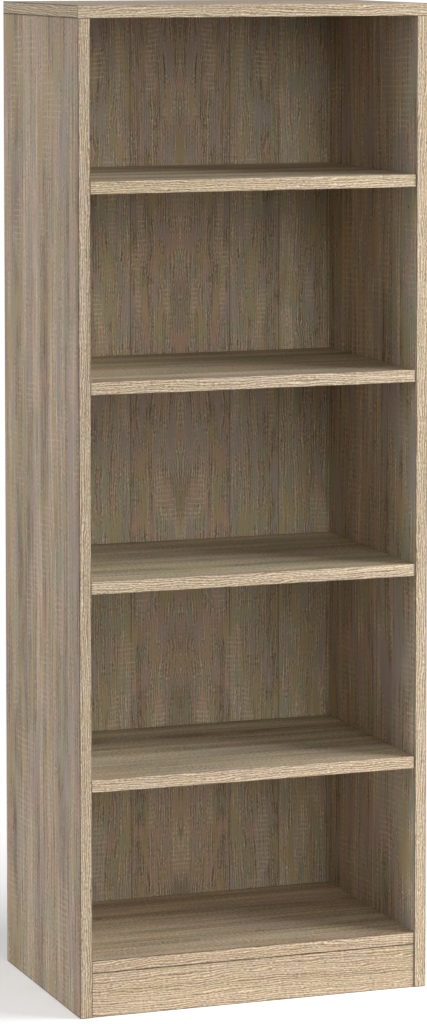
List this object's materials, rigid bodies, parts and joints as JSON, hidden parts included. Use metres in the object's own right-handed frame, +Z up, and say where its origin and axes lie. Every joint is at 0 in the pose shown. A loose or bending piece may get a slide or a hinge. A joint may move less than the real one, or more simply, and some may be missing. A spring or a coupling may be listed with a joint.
{
  "type": "bookcase with adjustable shelves",
  "caption": "Tall open bookcase with a plinth and a back panel; loose shelves rest on plug-in pins and lift off; spare holes let each be set one 32 mm step lower.",
  "frame": {"origin": "on the floor under the middle of the carcass", "axes": "+Z up, +X to the right across the width as seen from the front, -Y towards the viewer in front, +Y towards the back panel"},
  "size_m": [0.6, 0.4, 1.625],
  "materials": {
    "side_decor": "satin sawn-oak melamine, upright grain",
    "board_decor": "satin sawn-oak melamine, grain along the width",
    "back_decor": "matte printed sawn-oak hardboard, upright grain",
    "edge_band": "satin sawn-oak plastic edge band",
    "pin_steel": "nickel-plated",
    "dowel_beech": "raw beech"
  },
  "bodies": {
    "carcass": {"left_side_panel": "side_decor", "right_side_panel": "side_decor", "top_panel": "board_decor", "bottom_panel": "board_decor", "plinth": "board_decor", "back_panel": "back_decor", "left_front_band": "edge_band", "right_front_band": "edge_band", "top_front_band": "edge_band", "top_left_band": "edge_band", "top_right_band": "edge_band", "bottom_front_band": "edge_band", "shelf_1_pins": "pin_steel", "shelf_2_pins": "pin_steel", "shelf_3_pins": "pin_steel", "shelf_4_pins": "pin_steel", "top_dowels": "dowel_beech", "bottom_dowels": "dowel_beech", "plinth_dowels": "dowel_beech"},
    "shelf_1": {"shelf_1": "board_decor", "shelf_1_front_band": "edge_band"},
    "shelf_2": {"shelf_2": "board_decor", "shelf_2_front_band": "edge_band"},
    "shelf_3": {"shelf_3": "board_decor", "shelf_3_front_band": "edge_band"},
    "shelf_4": {"shelf_4": "board_decor", "shelf_4_front_band": "edge_band"}
  },
  "joints": [
    {"name": "shelf_1_height", "type": "slide", "parent": "carcass", "child": "shelf_1", "axis": [0, 0, 1], "range_m": [0, 0.258]},
    {"name": "shelf_2_height", "type": "slide", "parent": "carcass", "child": "shelf_2", "axis": [0, 0, 1], "range_m": [0, 0.294]},
    {"name": "shelf_3_height", "type": "slide", "parent": "carcass", "child": "shelf_3", "axis": [0, 0, 1], "range_m": [0, 0.294]},
    {"name": "shelf_4_height", "type": "slide", "parent": "carcass", "child": "shelf_4", "axis": [0, 0, 1], "range_m": [0, 0.294]}
  ]
}
